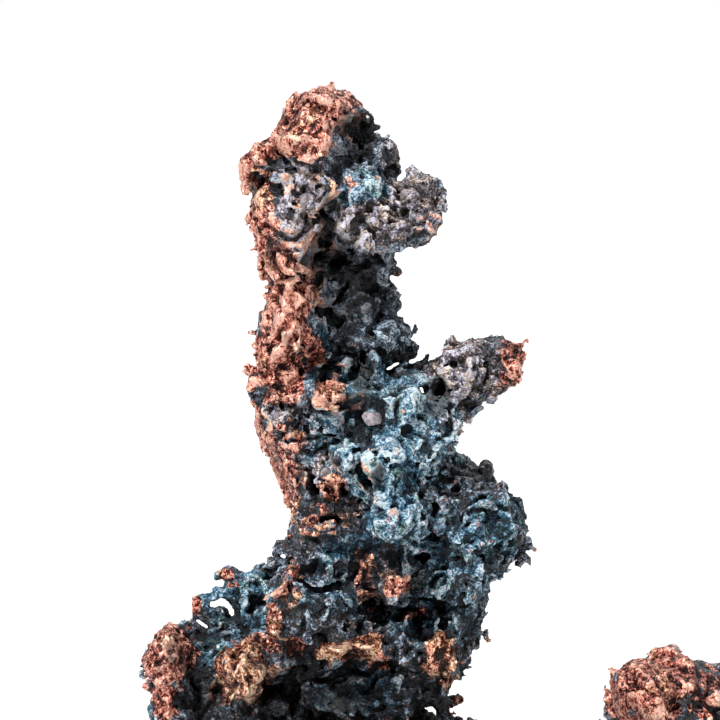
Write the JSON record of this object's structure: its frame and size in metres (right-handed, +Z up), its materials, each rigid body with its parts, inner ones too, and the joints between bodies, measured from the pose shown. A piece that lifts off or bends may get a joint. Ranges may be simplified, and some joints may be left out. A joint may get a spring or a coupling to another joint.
{
  "type": "native copper nugget",
  "caption": "Standing, branching lump of native copper with a side arm, a low spur and knob, dark crust, blue-green crust and small quartz grains.",
  "frame": {"origin": "on the level face that the nugget rests on, under its main stem", "axes": "+Z up along the stem, +X to the right seen from the front, +Y to the back"},
  "size_m": [0.085, 0.0533, 0.1071],
  "materials": {
    "copper": "crinkled native copper under dark oxide and blue-green crust",
    "quartz": "milky, slightly glossy"
  },
  "bodies": {
    "root": {"copper_nugget": "copper", "quartz_grain_shoulder": "quartz", "quartz_grain_saddle": "quartz", "quartz_grain_left": "quartz", "quartz_grain_ledge": "quartz", "quartz_grain_body": "quartz", "quartz_grain_slab": "quartz", "quartz_grain_head": "quartz", "quartz_grain_crest": "quartz"}
  },
  "joints": []
}
